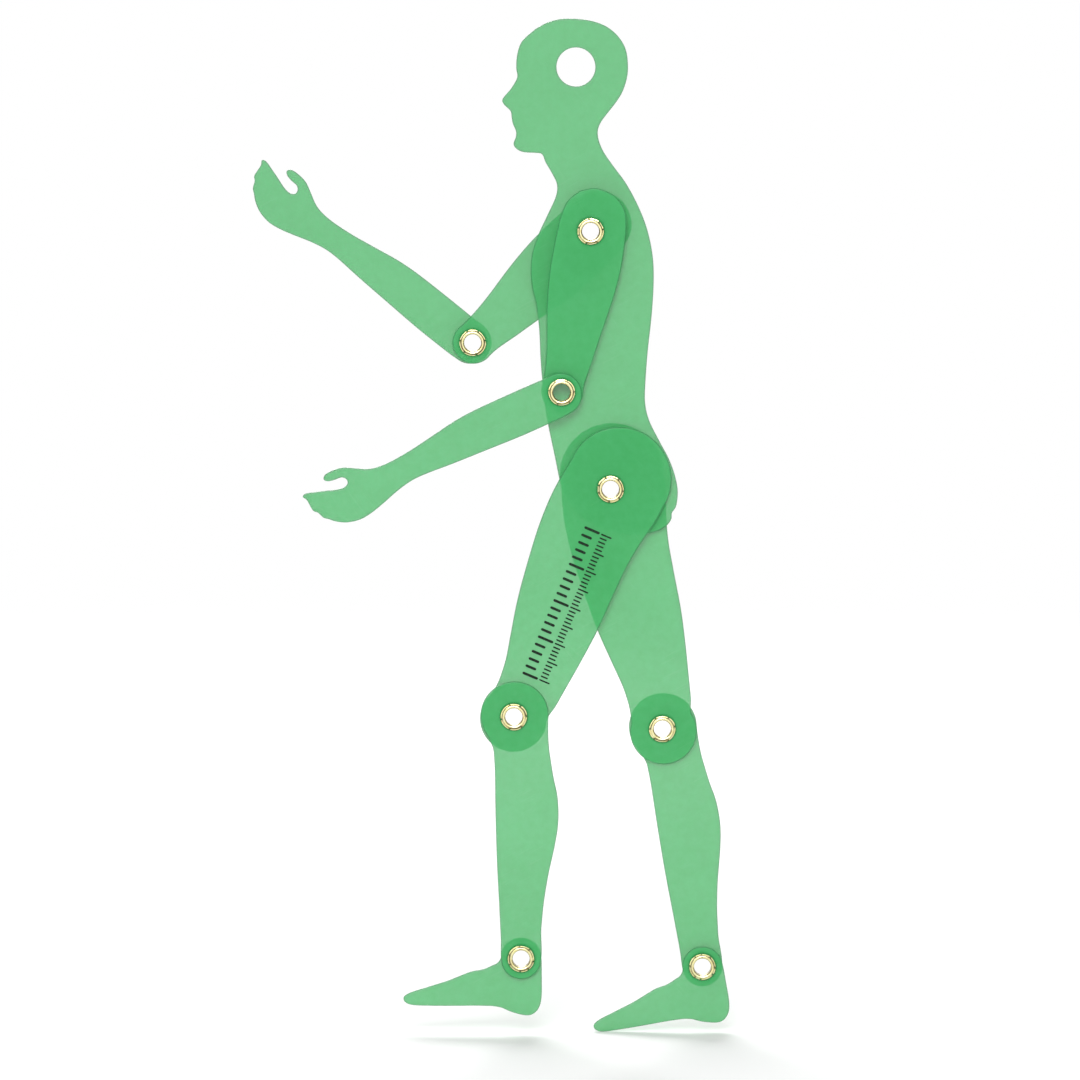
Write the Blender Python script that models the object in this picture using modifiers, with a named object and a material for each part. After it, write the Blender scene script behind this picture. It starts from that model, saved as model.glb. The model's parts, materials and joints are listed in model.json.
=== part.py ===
"""A flat hinged figure template: eleven sheet plates pivoted on eight brass eyelets.

The figure stands in profile, facing -X, with +Z up. The sheets lie square to Y and the
side that carries the eyelets' rolled rims faces -Y. The origin is the centre of the
hanging hole in the head. Lengths are in millimetres until scaled by MM.
"""

import math

import bpy

MM = 0.001

# Sheet and layers. Layer 0 is the torso; positive layers lie towards -Y, on the near side.
SHEET = 0.6
LAYER_GAP = 0.5
LAYER_PITCH = SHEET + LAYER_GAP
THIGH_LAYER = 1
SHIN_LAYER = 2
FOOT_LAYER = 1
UPPER_ARM_LAYER = 2
FOREARM_LAYER = 3

# Joint centres on the torso, and the lengths between joint centres of the limbs.
SHOULDER = (2.4, -26.8)
HIP = (5.7, -69.1)
UPPER_ARM = 26.7
THIGH = 40.6
SHIN = 40.0

# Rest pose in degrees. Shoulders and hips swing forwards from straight down, elbows fold
# forwards, knees fold backwards, and ankles lift the toes.
NEAR_POSE = {"shoulder": 10.2, "elbow": 55.5, "hip": 23.0, "knee": 24.7, "ankle": 1.5}
FAR_POSE = {"shoulder": 46.4, "elbow": 82.2, "hip": -12.2, "knee": -2.6, "ankle": -0.4}

# Holes
HANGING_HOLE_RADIUS = 3.175
PIVOT_HOLE_RADIUS = 1.68
HANGING_HOLE_SIDES = 40
PIVOT_HOLE_SIDES = 24

# Eyelets
EYELET_SIDES = 24
BORE_RADIUS = 1.4
BARREL_RADIUS = 1.6
RIM_RADIUS = 2.15
RIM_HEIGHT = 0.40
FLANGE_RADIUS = 2.4
FLANGE_HEIGHT = 0.30
EYELET_PLAY = 0.04
ROLL_STEPS = 5

CURVE_STEPS = 3
ARC_STEP = 12.0


# ---------------------------------------------------------------- outline helpers

def arc(centre, radius, start, end):
    """Points round an arc, from one angle in degrees to another."""
    steps = max(2, round(abs(end - start) / ARC_STEP))
    points = []
    for i in range(steps + 1):
        angle = math.radians(start + (end - start) * i / steps)
        points.append((centre[0] + radius * math.cos(angle), centre[1] + radius * math.sin(angle)))
    return points


def catmull_rom(before, start, end, after, t):
    """A point between start and end on the smooth curve through four points."""
    point = []
    for a, b, c, d in zip(before, start, end, after):
        cubic = 3 * b - a - 3 * c + d
        square = 2 * a - 5 * b + 4 * c - d
        point.append(0.5 * (2 * b + (c - a) * t + square * t * t + cubic * t ** 3))
    return tuple(point)


def smooth(points):
    """An open run of points, rounded into a smooth curve that passes through them all."""
    ends = [points[0]] + list(points) + [points[-1]]
    curve = []
    for i in range(1, len(ends) - 2):
        for step in range(CURVE_STEPS):
            curve.append(catmull_rom(*ends[i - 1:i + 3], step / CURVE_STEPS))
    return curve + [points[-1]]


def circle(centre, radius, sides):
    turns = [math.tau * i / sides for i in range(sides)]
    return [(centre[0] + radius * math.cos(a), centre[1] + radius * math.sin(a)) for a in turns]


# ---------------------------------------------------------------- plate outlines
# Each outline runs anticlockwise seen from -Y. Limb outlines hang straight down from the
# joint above, at (0, 0), with the figure's front towards -X.

def torso_outline():
    forehead_to_nose = [
        (-6.6, 6.2), (-8.8, 4.2), (-9.6, 2.0), (-9.75, -0.2), (-9.6, -1.7), (-10.6, -3.5), (-11.7, -4.8),
    ]
    nose_to_chin = [
        (-12.05, -5.5), (-11.7, -6.2), (-10.7, -7.2), (-10.5, -8.3), (-10.3, -9.3), (-9.8, -10.5),
        (-9.85, -11.5), (-10.2, -12.5), (-9.8, -13.3), (-8.6, -13.9), (-6.4, -14.05),
    ]
    jaw_to_chest = [
        (-5.5, -14.3), (-4.95, -15.6), (-3.9, -17.4), (-3.1, -19.2), (-3.3, -21.2), (-4.75, -24.4),
        (-6.15, -27.4), (-7.1, -30.2), (-7.4, -33.0), (-7.2, -36.0), (-6.5, -39.0),
    ]
    belly = [(-6.0, -43.0), (-5.7, -49.0), (-4.9, -56.5), (-3.4, -64.0), (-2.4, -68.6)]
    seat = [
        (-1.2, -71.1), (0.9, -73.6), (3.7, -75.3), (7.0, -76.4), (10.2, -76.6), (13.0, -76.2), (14.8, -75.3),
        (15.7, -74.1),
    ]
    buttock_to_waist = [
        (15.8, -73.1), (16.5, -71.9), (16.75, -69.5), (16.3, -67.0), (15.3, -64.2), (13.7, -61.2),
        (12.1, -58.0), (11.4, -55.2), (11.4, -52.0),
    ]
    back = [
        (11.8, -46.5), (12.4, -41.0), (12.75, -35.5), (12.6, -31.0), (11.7, -26.6), (10.2, -22.7),
        (8.2, -19.0), (6.0, -16.0), (4.4, -13.6), (3.6, -11.2), (3.95, -9.3), (5.6, -7.0), (7.4, -4.5),
    ]
    skull = [(8.35, -1.8), (8.5, 0.6), (8.1, 3.0), (6.9, 5.0), (5.0, 6.6), (2.6, 7.5), (0.0, 7.85), (-2.6, 7.8)]
    return smooth(
        forehead_to_nose + nose_to_chin + jaw_to_chest + belly + seat + buttock_to_waist + back + skull
        + [(-4.8, 7.2), (-6.6, 6.2)]
    )[:-1]


def upper_arm_outline():
    front = [(-2.9, 6.2), (-4.6, 4.2), (-5.3, 1.2), (-5.5, -3.5), (-5.4, -8.5), (-4.85, -13.5), (-4.0, -18.5)]
    elbow = arc((0.1, -26.6), 3.45, 172, 370)
    back = [(4.15, -20.5), (4.85, -15.5), (5.6, -10.5), (6.0, -6.0), (5.95, -2.0), (5.6, 2.0), (4.7, 4.7)]
    return smooth(front) + elbow + smooth(back + [(2.6, 6.5), (-0.4, 7.1), (-2.9, 6.2)])[:-1]


def forearm_outline():
    front = [
        (-3.2, -2.0), (-3.25, -8.0), (-3.2, -14.0), (-2.9, -18.0), (-2.1, -22.8), (-1.45, -27.0),
        (-1.15, -31.0), (-1.5, -33.8), (-2.6, -36.0), (-3.5, -37.8),
    ]
    thumb_and_slot = [
        (-3.75, -39.6), (-3.6, -40.9), (-3.0, -41.4), (-2.45, -40.9), (-2.2, -39.8), (-2.1, -38.6),
        (-1.5, -38.0), (-0.8, -38.1), (-0.45, -38.9), (-0.6, -40.1), (-1.1, -41.6),
    ]
    fingers = [
        (-1.6, -43.2), (-2.1, -45.0), (-1.8, -45.7), (-1.0, -45.3), (0.9, -45.1), (1.6, -44.5), (2.7, -44.0),
        (3.3, -43.3),
    ]
    palm_to_elbow = [
        (4.1, -42.4), (5.0, -40.8), (5.45, -38.6), (5.2, -36.4), (4.5, -33.8), (3.7, -31.2), (3.15, -28.6),
        (3.05, -26.0), (3.35, -21.0), (3.6, -15.0), (3.85, -8.5), (3.85, -2.5),
    ]
    elbow = arc((0.25, -0.3), 3.5, 0, 180)
    return smooth(front + thumb_and_slot + fingers + palm_to_elbow) + elbow


def thigh_outline():
    front = [
        (-8.35, -1.5), (-8.6, -5.0), (-8.5, -10.0), (-7.9, -16.0), (-7.0, -22.5), (-5.75, -28.5), (-4.9, -32.5),
        (-4.6, -35.5),
    ]
    knee = arc((0.1, -41.0), 5.5, 155, 380)
    back = [
        (5.7, -36.5), (6.15, -32.5), (6.7, -27.5), (7.15, -22.0), (7.3, -16.0), (7.5, -10.5), (8.1, -6.0),
        (8.85, -2.3),
    ]
    hip = arc((0.7, 2.1), 8.55, -10, 180)
    return smooth(front) + knee + smooth(back) + hip


def shin_outline():
    knee = arc((0.15, 0.2), 5.6, -10, 212)
    front = [(-3.5, -5.6), (-3.4, -9.0), (-3.5, -16.0), (-3.5, -24.0), (-3.35, -31.0), (-3.25, -37.0)]
    ankle = arc((0.0, -40.1), 3.3, 180, 355)
    back = [
        (3.5, -35.0), (4.0, -31.0), (4.9, -26.3), (6.1, -21.5), (6.8, -17.5), (6.8, -13.5), (6.2, -10.0),
        (5.7, -6.0),
    ]
    return knee + smooth(front) + ankle + smooth(back)


def foot_outline():
    ankle = arc((0.0, 0.0), 3.35, 0, 180)
    instep = [(-4.0, -0.9), (-6.2, -1.85), (-8.4, -2.3), (-12.0, -3.7), (-15.5, -4.8), (-18.3, -5.7)]
    toe_and_sole = [
        (-19.4, -6.5), (-19.0, -7.4), (-17.2, -7.85), (-11.0, -7.95), (-4.4, -8.05), (-1.6, -9.0),
        (0.6, -9.55),
    ]
    heel = [(1.9, -9.35), (2.9, -8.3), (3.35, -6.5), (3.4, -3.0)]
    return ankle + smooth(instep + toe_and_sole + heel)


# ---------------------------------------------------------------- Blender helpers

def clear_scene():
    for item in list(bpy.data.objects):
        bpy.data.objects.remove(item, do_unlink=True)


def make_material(name, colour, roughness, metallic, alpha):
    material = bpy.data.materials.new(name)
    material.use_nodes = True
    shader = material.node_tree.nodes["Principled BSDF"]
    shader.inputs["Base Color"].default_value = (*colour, 1.0)
    shader.inputs["Roughness"].default_value = roughness
    shader.inputs["Metallic"].default_value = metallic
    shader.inputs["Alpha"].default_value = alpha
    return material


def add_loop(curve, points):
    spline = curve.splines.new("POLY")
    spline.points.add(len(points) - 1)
    for point, (x, y) in zip(spline.points, points):
        point.co = (x * MM, y * MM, 0.0, 1.0)
    spline.use_cyclic_u = True


def make_plate(name, outline, holes, material, collection):
    """A sheet plate, flat in its own XY plane, with its thickness centred on that plane."""
    curve = bpy.data.curves.new(name, "CURVE")
    curve.dimensions = "2D"
    curve.fill_mode = "BOTH"
    curve.extrude = SHEET * MM / 2
    curve.render_resolution_u = 0
    add_loop(curve, outline)
    for hole in holes:
        add_loop(curve, hole)
    curve.materials.append(material)
    plate = bpy.data.objects.new(name, curve)
    collection.objects.link(plate)
    return plate


def eyelet_profile(stack):
    """The closed section of an eyelet, down the outside and up the bore, as (radius, height).

    The rolled rim is on top and the flange at the bottom of a stack of plates centred on 0.
    """
    seat = stack / 2 + EYELET_PLAY
    rim_middle = (BORE_RADIUS + RIM_RADIUS) / 2
    rim_half = (RIM_RADIUS - BORE_RADIUS) / 2
    flange_middle = (BORE_RADIUS + FLANGE_RADIUS) / 2
    flange_half = (FLANGE_RADIUS - BORE_RADIUS) / 2
    profile = [(BARREL_RADIUS, seat), (BARREL_RADIUS, -seat)]
    for i in range(ROLL_STEPS + 1):
        angle = math.pi * i / ROLL_STEPS
        profile.append((
            flange_middle + flange_half * math.cos(angle),
            -seat - FLANGE_HEIGHT * math.sin(angle),
        ))
    for i in range(ROLL_STEPS + 1):
        angle = math.pi * i / ROLL_STEPS
        profile.append((
            rim_middle - rim_half * math.cos(angle),
            seat + RIM_HEIGHT * math.sin(angle),
        ))
    return profile


def make_eyelet(name, layers, material, collection):
    """A turned eyelet through a stack of plates, with its axis along its own Z."""
    profile = eyelet_profile((layers - 1) * LAYER_PITCH + SHEET)
    mesh = bpy.data.meshes.new(name)
    points = [(radius * MM, 0.0, height * MM) for radius, height in profile]
    edges = [(i, (i + 1) % len(points)) for i in range(len(points))]
    mesh.from_pydata(points, edges, [])
    mesh.materials.append(material)
    eyelet = bpy.data.objects.new(name, mesh)
    collection.objects.link(eyelet)
    screw = eyelet.modifiers.new("Turn", "SCREW")
    screw.axis = "Z"
    screw.steps = EYELET_SIDES
    screw.render_steps = EYELET_SIDES
    screw.use_merge_vertices = True
    screw.merge_threshold = 0.00001
    screw.use_smooth_shade = True
    return eyelet


def hang(child, parent, centre, layers, turn=0.0):
    """Put a child on its parent's pivot, some layers nearer, turned about the pivot's axis."""
    child.parent = parent
    child.location = (centre[0] * MM, centre[1] * MM, layers * LAYER_PITCH * MM)
    child.rotation_euler = (0.0, 0.0, math.radians(turn))


# ---------------------------------------------------------------- the figure

def pivot_hole(centre):
    return circle(centre, PIVOT_HOLE_RADIUS, PIVOT_HOLE_SIDES)


def build_torso(plastic, brass, collection):
    holes = [circle((0.0, 0.0), HANGING_HOLE_RADIUS, HANGING_HOLE_SIDES)]
    holes += [pivot_hole(SHOULDER), pivot_hole(HIP)]
    torso = make_plate("head_and_torso", torso_outline(), holes, plastic, collection)
    torso.rotation_euler = (math.pi / 2, 0.0, 0.0)
    shoulder = make_eyelet("shoulder_eyelet", 2 * UPPER_ARM_LAYER + 1, brass, collection)
    hang(shoulder, torso, SHOULDER, 0)
    hip = make_eyelet("hip_eyelet", 2 * THIGH_LAYER + 1, brass, collection)
    hang(hip, torso, HIP, 0)
    return torso


def build_arm(side, direction, pose, torso, plastic, brass, collection):
    elbow = (0.0, -UPPER_ARM)
    upper_holes = [pivot_hole((0.0, 0.0)), pivot_hole(elbow)]
    upper_arm = make_plate(f"{side}_upper_arm", upper_arm_outline(), upper_holes, plastic, collection)
    hang(upper_arm, torso, SHOULDER, direction * UPPER_ARM_LAYER, -pose["shoulder"])
    fore_holes = [pivot_hole((0.0, 0.0))]
    forearm = make_plate(f"{side}_forearm", forearm_outline(), fore_holes, plastic, collection)
    step = direction * (FOREARM_LAYER - UPPER_ARM_LAYER)
    hang(forearm, upper_arm, elbow, step, -pose["elbow"])
    eyelet = make_eyelet(f"{side}_elbow_eyelet", 2, brass, collection)
    hang(eyelet, upper_arm, elbow, step / 2)


def build_leg(side, direction, pose, torso, plastic, brass, collection):
    knee = (0.0, -THIGH)
    ankle = (0.0, -SHIN)
    thigh_holes = [pivot_hole((0.0, 0.0)), pivot_hole(knee)]
    thigh = make_plate(f"{side}_thigh", thigh_outline(), thigh_holes, plastic, collection)
    hang(thigh, torso, HIP, direction * THIGH_LAYER, -pose["hip"])
    shin_holes = [pivot_hole((0.0, 0.0)), pivot_hole(ankle)]
    shin = make_plate(f"{side}_shin", shin_outline(), shin_holes, plastic, collection)
    shin_step = direction * (SHIN_LAYER - THIGH_LAYER)
    hang(shin, thigh, knee, shin_step, pose["knee"])
    foot = make_plate(f"{side}_foot", foot_outline(), [pivot_hole((0.0, 0.0))], plastic, collection)
    foot_step = direction * (FOOT_LAYER - SHIN_LAYER)
    hang(foot, shin, ankle, foot_step, -pose["ankle"])
    knee_eyelet = make_eyelet(f"{side}_knee_eyelet", 2, brass, collection)
    hang(knee_eyelet, thigh, knee, shin_step / 2)
    ankle_eyelet = make_eyelet(f"{side}_ankle_eyelet", 2, brass, collection)
    hang(ankle_eyelet, shin, ankle, foot_step / 2)


def main():
    clear_scene()
    collection = bpy.data.collections.new("hinged_figure_template")
    bpy.context.scene.collection.children.link(collection)
    plastic = make_material("green_sheet", (0.10, 0.50, 0.14), 0.45, 0.0, 0.86)
    brass = make_material("brass", (0.80, 0.62, 0.26), 0.25, 1.0, 1.0)
    torso = build_torso(plastic, brass, collection)
    for side, direction, pose in (("near", 1, NEAR_POSE), ("far", -1, FAR_POSE)):
        build_arm(side, direction, pose, torso, plastic, brass, collection)
        build_leg(side, direction, pose, torso, plastic, brass, collection)


main()
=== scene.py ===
"""The finished look of a flat hinged figure template: frosted green sheets on rolled brass eyelets.

Plates and eyelets are rebuilt finely from the frame's own outlines and boxes. Lengths are in
millimetres until scaled by MM. The side with the rolled rims faces -Y.
"""

import json
import math
import random

import bmesh
import bpy
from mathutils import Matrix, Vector

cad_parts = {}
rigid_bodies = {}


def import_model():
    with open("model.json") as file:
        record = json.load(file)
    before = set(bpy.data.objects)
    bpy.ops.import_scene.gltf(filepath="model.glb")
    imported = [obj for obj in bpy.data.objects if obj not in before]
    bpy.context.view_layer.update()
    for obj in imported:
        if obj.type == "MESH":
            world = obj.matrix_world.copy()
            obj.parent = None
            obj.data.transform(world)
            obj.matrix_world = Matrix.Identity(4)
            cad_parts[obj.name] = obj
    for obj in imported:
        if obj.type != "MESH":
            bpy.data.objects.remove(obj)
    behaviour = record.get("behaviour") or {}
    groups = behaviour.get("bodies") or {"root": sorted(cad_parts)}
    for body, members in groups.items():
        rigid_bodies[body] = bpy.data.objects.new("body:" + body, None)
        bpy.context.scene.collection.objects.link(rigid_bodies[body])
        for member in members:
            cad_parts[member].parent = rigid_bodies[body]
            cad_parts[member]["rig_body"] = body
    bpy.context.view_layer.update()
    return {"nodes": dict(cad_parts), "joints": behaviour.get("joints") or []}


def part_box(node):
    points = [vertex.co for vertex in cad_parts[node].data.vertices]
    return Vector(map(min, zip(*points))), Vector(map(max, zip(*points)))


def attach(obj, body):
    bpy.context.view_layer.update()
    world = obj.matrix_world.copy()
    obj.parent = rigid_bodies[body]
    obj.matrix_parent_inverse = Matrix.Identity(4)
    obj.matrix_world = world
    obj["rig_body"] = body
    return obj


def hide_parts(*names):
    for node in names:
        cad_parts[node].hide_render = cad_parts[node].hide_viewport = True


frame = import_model()

MM = 0.001

# Sheets
CUT_ROUNDING = 0.24
ROUNDING_STEPS = 4
OUTLINE_STEP = 0.30
CORNER_ANGLE = 35.0
MOST_WIDENING = 1.5
LEAST_COSINE = 0.3
HOLE_SIDES = 96

# Eyelets: the metal's middle line, with the flange measured below the seat and the roll above it
METAL = 0.20
ROLL_HEIGHT = 0.40
FLANGE_HEIGHT = 0.30
FLANGE_EDGE = 2.30
FLANGE_RIM = ((0.0, 0.11), (0.10, 0.17), (0.24, 0.195))
FLANGE_DEPTH = 0.20
FLANGE_BEND = 0.30
FLANGE_BEND_STEPS = 5
BARREL_MIDDLE = 1.50
CURL_FOOT = 0.09
CURL_RADIUS = 0.21
CURL_TURN = 150.0
CURL_STEPS = 10
LIP_BEND_RADIUS = 0.12
LIP_BEND_STEPS = 4
LIP_LENGTH = 0.17
LIP_SLOPE = 0.09
LIP_STEPS = 3
SHARP_ANGLE = 50.0

# Shares of the way from the barrel's top, at 0, to the edge of the roll's lip, at 1
CURL_SHARE = 0.55
LIP_BEND_SHARE = 0.20
LIP_SHARE = 0.25
CREASE_SHARE = 0.60
CREASE_HALF = 0.26
FREE_FROM = 0.35
BORE_END = 0.20
SPLIT_SHADE_AND_TARNISH_FROM = 0.3
LIP_SHADE_AND_TARNISH_FROM = 0.95

# Petals: how far each may vary, and the splits between them on rough and on smooth rims
# The last range sets how strongly oxide and painted shade darken each petal's crease
PETAL_RANGES = {
    "split": (-0.10, 0.12), "gap": (0.5, 1.25), "lift": (-0.03, 0.03), "reach": (-0.09, 0.03),
    "shade_and_tarnish_amount": (0.0, 2.4),
}
PETAL_SHIFT = 0.22
PETAL_COLUMNS = 12
PETAL_CURVE = 0.7
SPLIT_CURVE = 0.8
SPLIT_BAND = 0.125
ROUGH_COUNTS = (6, 7, 8)
ROUGH_SPLIT = {"split": 0.42, "width": 0.05}
SMOOTH_EYELET = "near_elbow_eyelet"
SMOOTH_COUNT = 6
SMOOTH_SPLIT = {"split": 0.80, "width": 0.03}
SEED = 41

# Brown from oxide and painted shade, from 0, bright, to 1, brown. The painted shade darkens the hidden side,
# the flange's corner, the bore, the curl's crease, the sides of the splits and the lip's edge
HIDDEN_SHADE_AND_TARNISH = 0.35
FLANGE_SHADE_AND_TARNISH = (0.1, 0.6)
BORE_SHADE_AND_TARNISH = 0.7
SPLIT_SHADE_AND_TARNISH = 1.6
LIP_SHADE_AND_TARNISH = 5
LEAST_SHADE_AND_TARNISH = 0.03

# Printed scale on the near thigh, measured down from the hip. A row's ticks start at its side.
SCALE_START = 7.4
SCALE_TICKS = 21
TICK_PITCH = 1.3
LONG_TICK_EVERY = 5
SCALE_ROWS = (
    {"side": -1.30, "long": 2.3, "short": 1.45, "half": 0.22, "per": 1},
    {"side": 1.60, "long": 1.6, "short": 1.0, "half": 0.13, "per": 2},
)
INK_HEIGHT = 0.012
INK_GAP = 0.001
CAP_STEPS = 6

# Materials
SHEET_ALPHA = 0.66
EDGE_ALPHA = 0.64
SHEET_IOR = 1.49
SHEET_GREENS = ((0.055, 0.428, 0.126, 1), (0.070, 0.466, 0.152, 1))
# A painted shadow on the sheets, in a ring just outside each eyelet's rim
RIM_SHADOW_GREEN = (0.008, 0.24, 0.05, 1)
SCRATCHED_GREEN = (0.40, 0.75, 0.50, 1)
# Inner and outer radius of that painted shadow ring, in millimetres
RIM_SHADOW_RING = (2.15, 2.65)
RUBBED_RING = (3.2, 6.0)
SCRATCH_LENGTHENING = 0.035
SHEAR_LENGTHENING = 0.15
# Greens of the cut edge, darker than the sheet's as painted shade along the cut
SHADED_EDGE_GREENS = ((0.036, 0.33, 0.095, 1), (0.052, 0.39, 0.130, 1))
BRASS_YELLOWS = ((0.80, 0.70, 0.32, 1), (0.90, 0.85, 0.50, 1))
# The brown of oxide and of painted shade on the brass
SHADE_AND_TARNISH_BROWN = (0.07, 0.04, 0.012, 1)
INK_BLACK = (0.004, 0.012, 0.006, 1)
WORN_INK = (0.03, 0.16, 0.06, 1)
MOST_WEAR = 0.35
FLOOR_WHITE = (0.93, 0.93, 0.93, 1)

# Camera and light. The floor and the lamps are in metres and watts.
CAMERA_DISTANCE = 1200.0
VIEW_WIDTH = 177.4
VIEW_CENTRE = (-5.87, -77.54)
CAMERA_RISE = 4.0
SENSOR = 36.0
WORLD_GLOW = 0.45
CARD_GLOW = (0.06, 1.20)
CARD_EDGE = (0.30, 0.80)
FLOOR_SIZE = 6.0
FLOOR_FADE = (0.35, 0.9)
LAMPS = (
    {"name": "key", "place": (-0.15, -1.9, 0.75), "aim": (0, 0, -0.08), "size": 0.9, "power": 27.5},
    {"name": "back", "place": (-0.15, 1.5, 0.9), "aim": (0, 0, -0.1), "size": 1.1, "power": 30.0},
)


# ---------------------------------------------------------------- outlines from the frame

def front_loops(name):
    """The outline and the holes of a plate's front face, as (x, z) loops in millimetres."""
    bm = bmesh.new()
    bm.from_mesh(frame["nodes"][name].data)
    bmesh.ops.remove_doubles(bm, verts=bm.verts, dist=1e-6)
    facing = {face for face in bm.faces if face.normal.y < -0.9}
    links = {}
    for edge in bm.edges:
        if sum(face in facing for face in edge.link_faces) == 1:
            a, b = edge.verts
            links.setdefault(a, []).append(b)
            links.setdefault(b, []).append(a)
    loops = []
    while links:
        loops.append(walk(links))
    bm.free()
    loops.sort(key=lambda loop: -abs(signed_area(loop)))
    return loops


def walk(links):
    """One closed loop of linked vertices, which are taken out of links."""
    start = min(links, key=lambda vert: (round(vert.co.x, 7), round(vert.co.z, 7)))
    loop, last, here = [], None, start
    while here in links:
        loop.append(Vector((here.co.x / MM, here.co.z / MM)))
        ways = links.pop(here)
        last, here = here, ways[1] if ways[0] is last else ways[0]
    return loop


def signed_area(loop):
    pairs = zip(loop, loop[1:] + loop[:1])
    return sum(a.x * b.y - b.x * a.y for a, b in pairs) / 2


def tangent(before, here, after):
    """The direction of a smooth curve at here, or nothing at a sharp corner."""
    arriving, leaving = here - before, after - here
    if math.degrees(arriving.angle(leaving)) > CORNER_ANGLE:
        return None
    near, far = arriving.length, leaving.length
    return (arriving / near * far + leaving / far * near) / (near + far)


def refined(loop):
    """The loop with points added along a smooth curve through it; sharp corners stay sharp."""
    count = len(loop)
    tangents = [tangent(loop[i - 1], loop[i], loop[(i + 1) % count]) for i in range(count)]
    fine = []
    for i in range(count):
        start, end = loop[i], loop[(i + 1) % count]
        chord = end - start
        length = chord.length
        leave = (tangents[i] or chord / length) * length
        arrive = (tangents[(i + 1) % count] or chord / length) * length
        steps = max(1, math.ceil(length / OUTLINE_STEP))
        for step in range(steps):
            t = step / steps
            fine.append(
                start * (2 * t ** 3 - 3 * t ** 2 + 1) + leave * (t ** 3 - 2 * t ** 2 + t)
                + end * (3 * t ** 2 - 2 * t ** 3) + arrive * (t ** 3 - t ** 2)
            )
    return fine


def round_hole(loop):
    """A true circle in place of a faceted hole, running clockwise."""
    centre = sum(loop, Vector((0, 0))) / len(loop)
    radius = max((point - centre).length for point in loop)
    turns = [-math.tau * i / HOLE_SIDES for i in range(HOLE_SIDES)]
    return [centre + Vector((math.cos(a), math.sin(a))) * radius for a in turns]


def smooth_loops(name):
    """A plate's fine outline, anticlockwise, and then its holes, clockwise."""
    outline, *holes = front_loops(name)
    if signed_area(outline) < 0:
        outline.reverse()
    return [refined(outline)] + [round_hole(hole) for hole in holes]


# ---------------------------------------------------------------- sheets

def inset(loop, distance):
    """The loop moved into the material, which lies on its left."""
    moved = []
    for i, here in enumerate(loop):
        arriving = (here - loop[i - 1]).normalized()
        leaving = (loop[(i + 1) % len(loop)] - here).normalized()
        left = Vector((-arriving.y - leaving.y, arriving.x + leaving.x)).normalized()
        cosine = left.dot(Vector((-arriving.y, arriving.x)))
        widen = min(MOST_WIDENING, 1 / max(LEAST_COSINE, cosine))
        moved.append(here + left * distance * widen)
    return moved


def rounding():
    """(inset, depth) pairs that round a cut edge from the face down to the side wall."""
    pairs = []
    for i in range(ROUNDING_STEPS + 1):
        angle = math.radians(90 * i / ROUNDING_STEPS)
        pairs.append((CUT_ROUNDING * (1 - math.sin(angle)), CUT_ROUNDING * (1 - math.cos(angle))))
    return pairs


def plate_rings(loop, front, back):
    """Rings of points that wrap the cut edge from the front face to the back face."""
    rings = []
    for inward, depth in rounding():
        rings.append([(p.x, front + depth, p.y) for p in inset(loop, inward)])
    for inward, depth in reversed(rounding()):
        rings.append([(p.x, back - depth, p.y) for p in inset(loop, inward)])
    return rings


def make_plate(name, face_material, edge_material):
    """A sheet with rounded cut edges, in place of the frame's plain plate."""
    low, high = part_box(name)
    bm = bmesh.new()
    first_edges, last_edges = [], []
    for loop in smooth_loops(name):
        rings = []
        for ring in plate_rings(loop, low.y / MM, high.y / MM):
            rings.append([bm.verts.new(Vector(point) * MM) for point in ring])
        count = len(loop)
        for upper, lower in zip(rings, rings[1:]):
            for i in range(count):
                j = (i + 1) % count
                wall = bm.faces.new((upper[i], lower[i], lower[j], upper[j]))
                wall.material_index = 1
                wall.smooth = True
        first_edges += [bm.edges.get((rings[0][i], rings[0][i - 1])) for i in range(count)]
        last_edges += [bm.edges.get((rings[-1][i], rings[-1][i - 1])) for i in range(count)]
    for edges, normal in ((first_edges, (0, -1, 0)), (last_edges, (0, 1, 0))):
        bmesh.ops.triangle_fill(bm, edges=edges, use_beauty=True, normal=normal)
    mesh = finished_mesh(bm, name + "_sheet")
    mesh.materials.append(face_material)
    mesh.materials.append(edge_material)
    replace_node(linked_piece(mesh), name)


def finished_mesh(bm, name):
    """A mesh with its faces pointing out, made from a bmesh, which is freed."""
    bmesh.ops.recalc_face_normals(bm, faces=bm.faces)
    mesh = bpy.data.meshes.new(name)
    bm.to_mesh(mesh)
    bm.free()
    return mesh


def linked_piece(mesh):
    """A piece with its mesh's name, in the scene."""
    piece = bpy.data.objects.new(mesh.name, mesh)
    bpy.context.scene.collection.objects.link(piece)
    return piece


def replace_node(piece, name):
    """Puts a piece in place of a frame node, on that node's body."""
    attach(piece, frame["nodes"][name]["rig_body"])
    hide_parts(name)


# ---------------------------------------------------------------- eyelets

def flange_section(seat):
    """The middle line of the flange, from its edge to the foot of the barrel: (radius, height)."""
    edge = [(FLANGE_EDGE - inward, -seat - depth) for inward, depth in FLANGE_RIM]
    bend = []
    for i in range(FLANGE_BEND_STEPS + 1):
        angle = math.radians(90 * i / FLANGE_BEND_STEPS)
        radius = BARREL_MIDDLE + FLANGE_BEND * (1 - math.sin(angle))
        bend.append((radius, -seat - FLANGE_DEPTH + FLANGE_BEND * (1 - math.cos(angle))))
    return edge + bend


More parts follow.
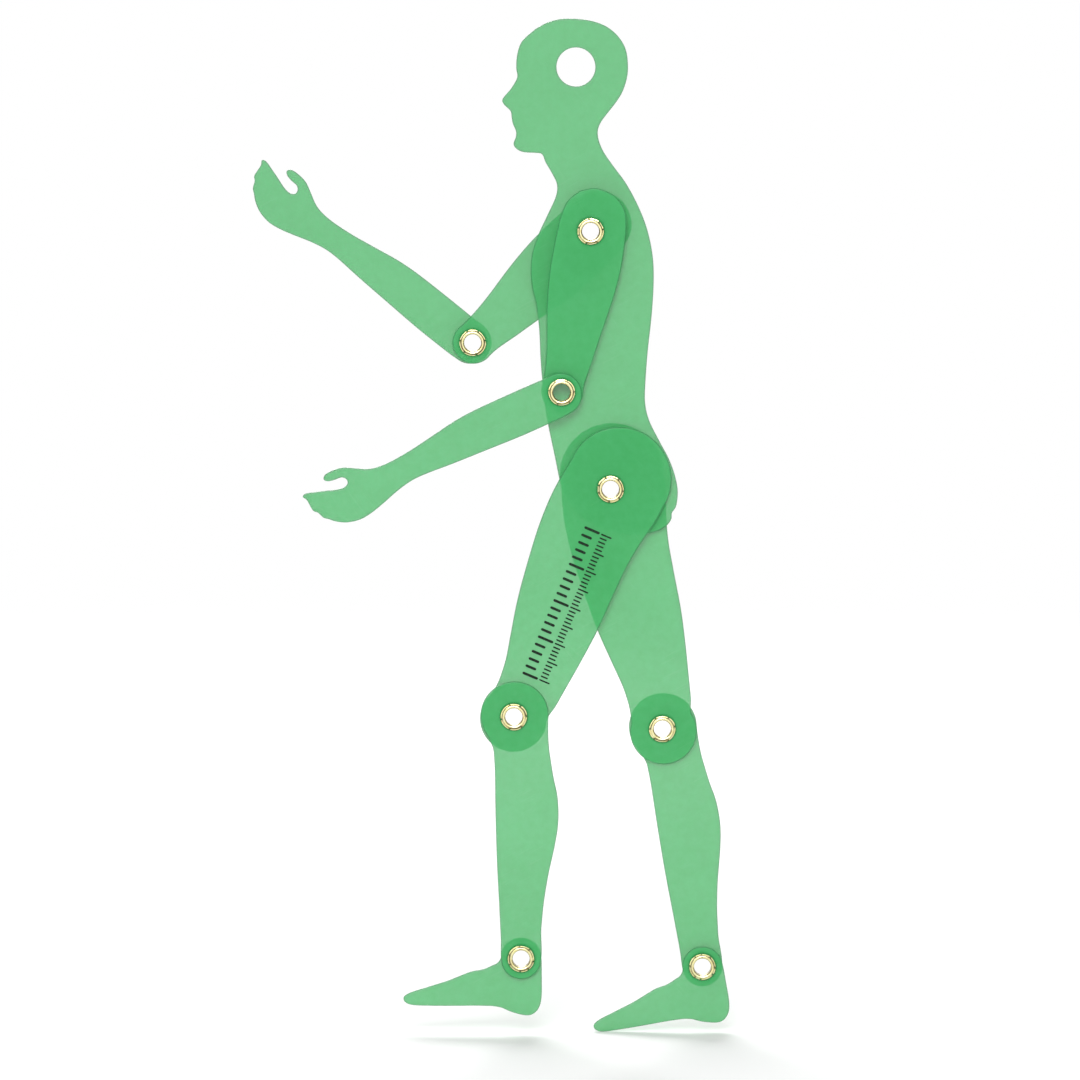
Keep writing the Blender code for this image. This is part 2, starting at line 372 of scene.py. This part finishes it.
def roll_section(seat):
    """The middle line of the roll, from the barrel's top to the flattened lip: (radius, height, share)."""
    base = seat + CURL_FOOT
    points = []
    for i in range(CURL_STEPS + 1):
        angle = math.radians(CURL_TURN * i / CURL_STEPS)
        radius = BARREL_MIDDLE + CURL_RADIUS * (1 - math.cos(angle))
        points.append((radius, base + CURL_RADIUS * math.sin(angle), CURL_SHARE * i / CURL_STEPS))
    curl_radius, curl_height, share = points[-1]
    slope = math.radians(CURL_TURN - 90)
    for i in range(1, LIP_BEND_STEPS + 1):
        left = slope * (1 - i / LIP_BEND_STEPS)
        radius = curl_radius + LIP_BEND_RADIUS * (math.sin(slope) - math.sin(left))
        height = curl_height - LIP_BEND_RADIUS * (math.cos(left) - math.cos(slope))
        points.append((radius, height, share + LIP_BEND_SHARE * i / LIP_BEND_STEPS))
    for i in range(1, LIP_STEPS + 1):
        reach = LIP_LENGTH * i / LIP_STEPS
        share = CURL_SHARE + LIP_BEND_SHARE + LIP_SHARE * i / LIP_STEPS
        points.append((radius + reach, height - LIP_SLOPE * reach, share))
    return points


def section_normals(line):
    """Unit normals to a section's middle line, on the side that lies towards the sheets."""
    normals = []
    for i in range(len(line)):
        before = line[max(0, i - 1)]
        after = line[min(len(line) - 1, i + 1)]
        along = Vector((after[0] - before[0], after[1] - before[1])).normalized()
        normals.append(Vector((along.y, -along.x)))
    return normals


def petal_plan(rng, count, split, width):
    """Random petals round a roll: where each starts and splits, how wide, how it curls, and how much oxide
    and painted shade darken its crease.
    """
    starts = [(i + rng.uniform(-PETAL_SHIFT, PETAL_SHIFT)) * math.tau / count for i in range(count)]
    plan = []
    for start in starts:
        petal = {key: rng.uniform(*limits) for key, limits in PETAL_RANGES.items()}
        petal["start"] = start
        petal["split"] += split
        petal["gap"] *= width
        plan.append(petal)
    return plan


def gap_at(petal, share):
    """Half the angle of the split at a petal's start, at some share of the roll."""
    open_share = max(0.0, share - petal["split"]) / (1 - petal["split"])
    return petal["gap"] * open_share ** SPLIT_CURVE


def petal_angles(plan, index, share):
    """The angles round the axis of a petal's columns, at some share of the roll."""
    petal = plan[index]
    following = plan[(index + 1) % len(plan)]
    end = following["start"] + (math.tau if index == len(plan) - 1 else 0.0)
    low = petal["start"] + gap_at(petal, share)
    high = end - gap_at(following, share)
    return [low + (high - low) * column / PETAL_COLUMNS for column in range(PETAL_COLUMNS + 1)]


def make_eyelet(name, plan, material):
    """A brass eyelet: a flange at +Y, a barrel, and at -Y a roll that has split into petals."""
    low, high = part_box(name)
    centre = (low + high) / 2 / MM
    seat = ((high.y - low.y) / MM - ROLL_HEIGHT - FLANGE_HEIGHT) / 2
    middle = high.y / MM - FLANGE_HEIGHT - seat
    line = [(radius, height, 0.0) for radius, height in flange_section(seat)] + roll_section(seat)
    normals = section_normals(line)
    bm = bmesh.new()
    # Each vertex carries how much oxide and painted shade darken the brass
    shade_and_tarnish = bm.verts.layers.float.new("shade_and_tarnish")
    grids = [petal_grid(bm, shade_and_tarnish, plan, i, line, normals, centre, middle) for i in range(len(plan))]
    for index, grid in enumerate(grids):
        petal_faces(bm, grid, line, plan, index)
    bmesh.ops.remove_doubles(bm, verts=bm.verts, dist=1e-7)
    for face in bm.faces:
        face.smooth = True
    mesh = finished_mesh(bm, name + "_brass")
    mesh.set_sharp_from_angle(angle=math.radians(SHARP_ANGLE))
    mesh.materials.append(material)
    replace_node(linked_piece(mesh), name)


def petal_grid(bm, shade_and_tarnish, plan, index, line, normals, centre, middle):
    """Rows of vertices on both sides of a petal, and of the barrel and the flange below it."""
    petal = plan[index]
    sides = {}
    for side, offset in (("hidden", METAL / 2), ("shown", -METAL / 2)):
        rows = []
        for (radius, height, share), normal in zip(line, normals):
            row = []
            for column, angle in enumerate(petal_angles(plan, index, share)):
                bend = math.sin(math.pi * column / PETAL_COLUMNS) ** PETAL_CURVE
                free = max(0.0, share - FREE_FROM) / (1 - FREE_FROM)
                r = radius + normal.x * offset + petal["reach"] * free * bend
                h = height + normal.y * offset + petal["lift"] * free * bend
                point = (centre.x + r * math.cos(angle), middle - h, centre.z + r * math.sin(angle))
                vert = bm.verts.new(Vector(point) * MM)
                vert[shade_and_tarnish] = shade_and_tarnish_at(side, radius, share, column, petal["shade_and_tarnish_amount"])
                row.append(vert)
            rows.append(row)
        sides[side] = rows
    return sides


def shade_and_tarnish_at(side, radius, share, column, petal_shade_and_tarnish):
    """How brown the metal is, from oxide and painted shade: most in the bore, in the curl's crease, by the
    splits and at the lip, where shade falls, and some on the hidden side.
    """
    # Painted shade, with some oxide, darkens the hidden side, the flange's corner, the bore, the curl's
    # crease, the sides of the splits and the lip's edge
    if side == "hidden":
        return HIDDEN_SHADE_AND_TARNISH
    if share == 0.0:
        least, added = FLANGE_SHADE_AND_TARNISH
        return least + added * max(0.0, 1 - (radius - BARREL_MIDDLE) / FLANGE_BEND)
    bore = BORE_SHADE_AND_TARNISH * max(0.0, 1 - share / BORE_END)
    crease = petal_shade_and_tarnish * max(0.0, 1 - abs(share - CREASE_SHARE) / CREASE_HALF)
    edge = min(column, PETAL_COLUMNS - column) / PETAL_COLUMNS
    beside = SPLIT_SHADE_AND_TARNISH * max(0.0, 1 - edge / SPLIT_BAND) * max(0.0, share - SPLIT_SHADE_AND_TARNISH_FROM)
    lip = LIP_SHADE_AND_TARNISH * max(0.0, share - LIP_SHADE_AND_TARNISH_FROM)
    return min(1.0, LEAST_SHADE_AND_TARNISH + bore + crease + beside + lip)


def petal_faces(bm, grid, line, plan, index):
    """The faces of both sides of a petal, of its two edges, and across the rims of its section."""
    hidden, shown = grid["hidden"], grid["shown"]
    following = plan[(index + 1) % len(plan)]
    for i in range(len(line) - 1):
        for j in range(PETAL_COLUMNS):
            bm.faces.new((hidden[i][j], hidden[i][j + 1], hidden[i + 1][j + 1], hidden[i + 1][j]))
            bm.faces.new((shown[i][j + 1], shown[i][j], shown[i + 1][j], shown[i + 1][j + 1]))
        for petal, j in ((plan[index], 0), (following, PETAL_COLUMNS)):
            if gap_at(petal, line[i + 1][2]) > 0:
                bm.faces.new((hidden[i][j], hidden[i + 1][j], shown[i + 1][j], shown[i][j]))
    for j in range(PETAL_COLUMNS):
        bm.faces.new((hidden[0][j + 1], hidden[0][j], shown[0][j], shown[0][j + 1]))
        bm.faces.new((hidden[-1][j], hidden[-1][j + 1], shown[-1][j + 1], shown[-1][j]))


# ---------------------------------------------------------------- printed scale

def stroke(bm, start, end, half_width, surface):
    """A printed stroke with round ends, standing a hair proud of the surface at -Y."""
    along = (end - start).normalized()
    across = Vector((-along.y, along.x))
    points = []
    for tip, first in ((end, -90), (start, 90)):
        for i in range(CAP_STEPS + 1):
            angle = math.radians(first + 180 * i / CAP_STEPS)
            points.append(tip + (along * math.cos(angle) + across * math.sin(angle)) * half_width)
    top = [bm.verts.new((p.x * MM, (surface - INK_HEIGHT) * MM, p.y * MM)) for p in points]
    base = [bm.verts.new((p.x * MM, (surface - INK_GAP) * MM, p.y * MM)) for p in points]
    bm.faces.new(top)
    bm.faces.new(list(reversed(base)))
    for i in range(len(points)):
        bm.faces.new((top[i - 1], base[i - 1], base[i], top[i]))


def make_scale(material):
    """Two rows of plain graduations down the near thigh."""
    hip = joint_place("near_hip")
    down = (joint_place("near_knee") - hip).normalized()
    across = Vector((-down.y, down.x))
    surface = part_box("near_thigh")[0].y / MM
    bm = bmesh.new()
    for row in SCALE_ROWS:
        for i in range((SCALE_TICKS - 1) * row["per"] + 1):
            place = hip + down * (SCALE_START + i * TICK_PITCH / row["per"])
            length = row["long"] if i % LONG_TICK_EVERY == 0 else row["short"]
            foot = place + across * row["side"]
            stroke(bm, foot, foot + across * length, row["half"], surface)
    mesh = finished_mesh(bm, "thigh_scale_marks")
    mesh.materials.append(material)
    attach(linked_piece(mesh), "near_thigh")


def joint_place(name):
    """A joint's centre as (x, z) in millimetres."""
    found = next(joint for joint in frame["joints"] if joint["name"] == name)
    return Vector((found["pos_m"][0], found["pos_m"][2])) / MM


# ---------------------------------------------------------------- materials

def node(tree, kind, inputs=None, **settings):
    """A new shader node with its settings, and its inputs given as values or as sockets to link."""
    made = tree.nodes.new(kind)
    for key, value in settings.items():
        setattr(made, key, value)
    for key, value in (inputs or {}).items():
        if isinstance(value, bpy.types.NodeSocket):
            tree.links.new(value, made.inputs[key])
        else:
            made.inputs[key].default_value = value
    return made


def blank_material(name):
    """A material with one Principled shader, and the place on the surface that its patterns follow."""
    material = bpy.data.materials.new(name)
    material.use_nodes = True
    tree = material.node_tree
    place = node(tree, "ShaderNodeTexCoord").outputs["Object"]
    return material, tree, tree.nodes["Principled BSDF"], place


def random_offset(rng):
    """A shift in millimetres that gives each material its own part of a pattern."""
    return [rng.uniform(-50, 50) for _ in range(3)]


def in_mm(tree, place, offset, scale=(1, 1, 1)):
    inputs = {"Vector": place, "Location": offset, "Scale": [s / MM for s in scale]}
    return node(tree, "ShaderNodeMapping", inputs).outputs["Vector"]


def noise(tree, vector, scale, detail=3.0, roughness=0.5):
    inputs = {"Vector": vector, "Scale": scale, "Detail": detail, "Roughness": roughness}
    return node(tree, "ShaderNodeTexNoise", inputs).outputs["Fac"]


def fit(tree, value, low, high, to_low, to_high, smooth=False):
    """A value taken from one range to another, and held at its ends."""
    inputs = {"Value": value, "From Min": low, "From Max": high, "To Min": to_low, "To Max": to_high}
    kind = "SMOOTHSTEP" if smooth else "LINEAR"
    return node(tree, "ShaderNodeMapRange", inputs, interpolation_type=kind).outputs["Result"]


def maths(tree, operation, a, b):
    return node(tree, "ShaderNodeMath", {0: a, 1: b}, operation=operation).outputs[0]


def blend(tree, factor, a, b):
    """A colour between a and b. On a Mix node, 0, 6 and 7 are the factor and the two colours."""
    return node(tree, "ShaderNodeMix", {0: factor, 6: a, 7: b}, data_type="RGBA").outputs[2]


def bump(tree, heights, distance, strength):
    inputs = {"Height": heights, "Distance": distance * MM, "Strength": strength}
    return node(tree, "ShaderNodeBump", inputs).outputs["Normal"]


def scratches(tree, vector, angle, scale, share):
    """Hairlines running one way, in scattered bands: 1 on a scratch and 0 elsewhere."""
    turned = node(tree, "ShaderNodeMapping", {"Vector": vector, "Rotation": (0, angle, 0)}).outputs[0]
    inputs = {"Vector": turned, "Scale": (SCRATCH_LENGTHENING, 1, 1)}
    stretched = node(tree, "ShaderNodeMapping", inputs).outputs[0]
    lines = noise(tree, stretched, scale, 1.0, 0.4)
    band = noise(tree, turned, 0.11, 1.0)
    hair = fit(tree, lines, share, share + 0.02, 0.0, 1.0)
    return maths(tree, "MULTIPLY", hair, fit(tree, band, 0.5, 0.6, 0.0, 1.0))


def pivot_distance(tree, place, pivots):
    """Millimetres from the nearest of a plate's pivots."""
    nearest = None
    for x, z in pivots:
        inputs = {0: place, 1: (1, 0, 1)}
        flat = node(tree, "ShaderNodeVectorMath", inputs, operation="MULTIPLY").outputs[0]
        inputs = {0: flat, 1: (x * MM, 0, z * MM)}
        away = node(tree, "ShaderNodeVectorMath", inputs, operation="DISTANCE").outputs["Value"]
        nearest = away if nearest is None else maths(tree, "MINIMUM", nearest, away)
    return maths(tree, "DIVIDE", nearest, MM)


def sheet_material(name, pivots, rng):
    """Frosted see-through green sheet, mottled and scuffed, with a painted shadow in a ring round each
    pivot's eyelet, and smoother round its pivots.
    """
    material, tree, shader, place = blank_material(name)
    vector = in_mm(tree, place, random_offset(rng))
    cloud = maths(tree, "MULTIPLY", noise(tree, vector, 0.07, 2.0), 0.45)
    mottle = noise(tree, vector, 0.75, 4.0, 0.62)
    pattern = maths(tree, "ADD", cloud, maths(tree, "MULTIPLY", mottle, 0.55))
    colour = blend(tree, fit(tree, pattern, 0.36, 0.64, 0.0, 1.0), *SHEET_GREENS)
    away = pivot_distance(tree, place, pivots)
    # A painted shadow darkens the sheet in a ring just outside each eyelet's rim
    rim_shadow = maths(tree, "SUBTRACT", 1.0, fit(tree, away, *RIM_SHADOW_RING, 0.0, 1.0, True))
    colour = blend(tree, maths(tree, "MULTIPLY", rim_shadow, 0.7), colour, RIM_SHADOW_GREEN)
    rising = scratches(tree, vector, 0.5, 5.0, 0.66)
    falling = scratches(tree, vector, -0.9, 6.5, 0.68)
    hair = maths(tree, "MAXIMUM", rising, falling)
    colour = blend(tree, maths(tree, "MULTIPLY", hair, 0.03), colour, SCRATCHED_GREEN)
    tree.links.new(colour, shader.inputs["Base Color"])
    rub = maths(tree, "SUBTRACT", 1.0, fit(tree, away, *RUBBED_RING, 0.0, 1.0, True))
    rough = fit(tree, mottle, 0.3, 0.7, 0.40, 0.52)
    rough = maths(tree, "SUBTRACT", rough, maths(tree, "MULTIPLY", rub, 0.10))
    rough = maths(tree, "ADD", rough, maths(tree, "MULTIPLY", hair, 0.04))
    tree.links.new(rough, shader.inputs["Roughness"])
    grain = noise(tree, vector, 2.5, 2.0, 0.5)
    heights = maths(tree, "SUBTRACT", grain, maths(tree, "MULTIPLY", hair, 0.2))
    tree.links.new(bump(tree, heights, 0.02, 0.10), shader.inputs["Normal"])
    shader.inputs["Alpha"].default_value = SHEET_ALPHA
    shader.inputs["IOR"].default_value = SHEET_IOR
    shader.inputs["Specular IOR Level"].default_value = 0.2
    return material


def edge_material(rng):
    """The die-cut edge: a green painted darker as shade along the cut, with fine shear lines through the
    thickness.
    """
    material, tree, shader, place = blank_material("cut_edge")
    offset = random_offset(rng)
    along = noise(tree, in_mm(tree, place, offset, (1, SHEAR_LENGTHENING, 1)), 4.5, 3.0, 0.6)
    cloud = maths(tree, "ADD", noise(tree, in_mm(tree, place, offset), 0.3, 2.0), 0.5)
    tone = fit(tree, maths(tree, "MULTIPLY", along, cloud), 0.3, 0.7, 0.0, 1.0)
    # The darker edge green paints the shade along the cut
    tree.links.new(blend(tree, tone, *SHADED_EDGE_GREENS), shader.inputs["Base Color"])
    tree.links.new(fit(tree, along, 0.3, 0.7, 0.30, 0.55), shader.inputs["Roughness"])
    tree.links.new(bump(tree, along, 0.03, 0.6), shader.inputs["Normal"])
    shader.inputs["Alpha"].default_value = EDGE_ALPHA
    shader.inputs["IOR"].default_value = SHEET_IOR
    return material


def brass_material(rng):
    """Bright yellow brass with small dents, and brown where the mesh's attribute gives oxide and painted
    shade.
    """
    material, tree, shader, place = blank_material("rolled_brass")
    vector = in_mm(tree, place, random_offset(rng))
    blotch = noise(tree, vector, 1.6, 3.0, 0.55)
    fine = noise(tree, vector, 9.0, 3.0, 0.6)
    colour = blend(tree, fit(tree, blotch, 0.35, 0.65, 0.0, 1.0), *BRASS_YELLOWS)
    # The mesh attribute darkens the brass with oxide and painted shade
    shade_and_tarnish_amount = node(tree, "ShaderNodeAttribute", attribute_name="shade_and_tarnish").outputs["Fac"]
    spread = maths(tree, "MULTIPLY", shade_and_tarnish_amount, fit(tree, fine, 0.3, 0.7, 0.55, 1.25))
    brown = node(tree, "ShaderNodeClamp", {"Value": spread}).outputs[0]
    tree.links.new(blend(tree, brown, colour, SHADE_AND_TARNISH_BROWN), shader.inputs["Base Color"])
    rough = maths(tree, "ADD", fit(tree, fine, 0.3, 0.7, 0.14, 0.26), maths(tree, "MULTIPLY", brown, 0.25))
    tree.links.new(rough, shader.inputs["Roughness"])
    heights = maths(tree, "ADD", blotch, maths(tree, "MULTIPLY", fine, 0.3))
    tree.links.new(bump(tree, heights, 0.05, 0.35), shader.inputs["Normal"])
    shader.inputs["Metallic"].default_value = 1.0
    return material


def ink_material(rng):
    """Matt black ink with thin and worn spots."""
    material, tree, shader, place = blank_material("black_ink")
    vector = in_mm(tree, place, random_offset(rng))
    wear = fit(tree, noise(tree, vector, 3.2, 4.0, 0.7), 0.52, 0.72, 0.0, MOST_WEAR)
    tree.links.new(blend(tree, wear, INK_BLACK, WORN_INK), shader.inputs["Base Color"])
    tree.links.new(fit(tree, wear, 0.0, MOST_WEAR, 0.5, 0.7), shader.inputs["Roughness"])
    shader.inputs["Specular IOR Level"].default_value = 0.15
    return material


# ---------------------------------------------------------------- floor, light and camera

def make_floor(height):
    """A white floor that fades out round the object."""
    bpy.ops.mesh.primitive_plane_add(size=FLOOR_SIZE, location=(0, 0, height))
    floor = bpy.context.object
    floor.name = "floor"
    material, tree, shader, place = blank_material("white_floor")
    shader.inputs["Base Color"].default_value = FLOOR_WHITE
    shader.inputs["Roughness"].default_value = 0.9
    shader.inputs["Specular IOR Level"].default_value = 0.0
    away = node(tree, "ShaderNodeVectorMath", {0: place}, operation="LENGTH").outputs["Value"]
    tree.links.new(fit(tree, away, *FLOOR_FADE, 1.0, 0.0, True), shader.inputs["Alpha"])
    floor.data.materials.append(material)


def make_world():
    """Even white light and a white ground, with darker sides for the brass to mirror."""
    world = bpy.data.worlds.new("studio")
    bpy.context.scene.world = world
    world.use_nodes = True
    tree = world.node_tree
    path = node(tree, "ShaderNodeLightPath").outputs
    way = node(tree, "ShaderNodeTexCoord").outputs["Generated"]
    depth = node(tree, "ShaderNodeSeparateXYZ", {"Vector": way}).outputs["Y"]
    cards = fit(tree, maths(tree, "ABSOLUTE", depth, 0.0), *CARD_EDGE, *CARD_GLOW, True)
    mirrored = fit(tree, path["Is Glossy Ray"], 0.0, 1.0, WORLD_GLOW, cards)
    strength = fit(tree, path["Is Camera Ray"], 0.0, 1.0, mirrored, 1.0)
    tree.links.new(strength, tree.nodes["Background"].inputs["Strength"])
    tree.nodes["Background"].inputs["Color"].default_value = (1, 1, 1, 1)


def make_lamp(name, place, aim, size, power):
    """A round soft light that shines from a place towards a point."""
    data = bpy.data.lights.new(name, "AREA")
    data.shape = "DISK"
    data.size = size
    data.energy = power
    lamp = bpy.data.objects.new(name, data)
    bpy.context.scene.collection.objects.link(lamp)
    lamp.location = place
    lamp.rotation_euler = (Vector(aim) - Vector(place)).to_track_quat("-Z", "Y").to_euler()


def make_camera():
    """A distant camera that looks along +Y and a little down, VIEW_WIDTH across at the torso."""
    data = bpy.data.cameras.new("camera")
    data.sensor_width = SENSOR
    data.lens = SENSOR * CAMERA_DISTANCE / VIEW_WIDTH
    data.clip_start = 0.01
    camera = bpy.data.objects.new("camera", data)
    bpy.context.scene.collection.objects.link(camera)
    rise = math.radians(CAMERA_RISE)
    back = Vector((0, -math.cos(rise), math.sin(rise))) * CAMERA_DISTANCE
    camera.location = (Vector((VIEW_CENTRE[0], 0, VIEW_CENTRE[1])) + back) * MM
    camera.rotation_euler = (math.radians(90) - rise, 0, 0)
    bpy.context.scene.camera = camera


# ---------------------------------------------------------------- the whole

def pivots_of(name):
    """The (x, z) centres of the joints that hold a plate, in millimetres."""
    body = frame["nodes"][name]["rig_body"]
    joints = [joint for joint in frame["joints"] if body in (joint["parent"], joint["child"])]
    return sorted({(round(j["pos_m"][0] / MM, 4), round(j["pos_m"][2] / MM, 4)) for j in joints})


def eyelet_plan(name, rng):
    """An eyelet's petals. One eyelet has a smoother rim than the rest."""
    if name == SMOOTH_EYELET:
        return petal_plan(rng, SMOOTH_COUNT, **SMOOTH_SPLIT)
    return petal_plan(rng, rng.choice(ROUGH_COUNTS), **ROUGH_SPLIT)


def main():
    rng = random.Random(SEED)
    cut_edge = edge_material(rng)
    brass = brass_material(rng)
    for name in sorted(frame["nodes"]):
        if name.endswith("_eyelet"):
            make_eyelet(name, eyelet_plan(name, rng), brass)
        else:
            make_plate(name, sheet_material(name + "_green", pivots_of(name), rng), cut_edge)
    make_scale(ink_material(rng))
    make_camera()
    make_floor(min(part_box(name)[0].z for name in frame["nodes"]))
    make_world()
    for lamp in LAMPS:
        make_lamp(**lamp)
    bpy.context.scene.view_settings.view_transform = "Standard"


main()
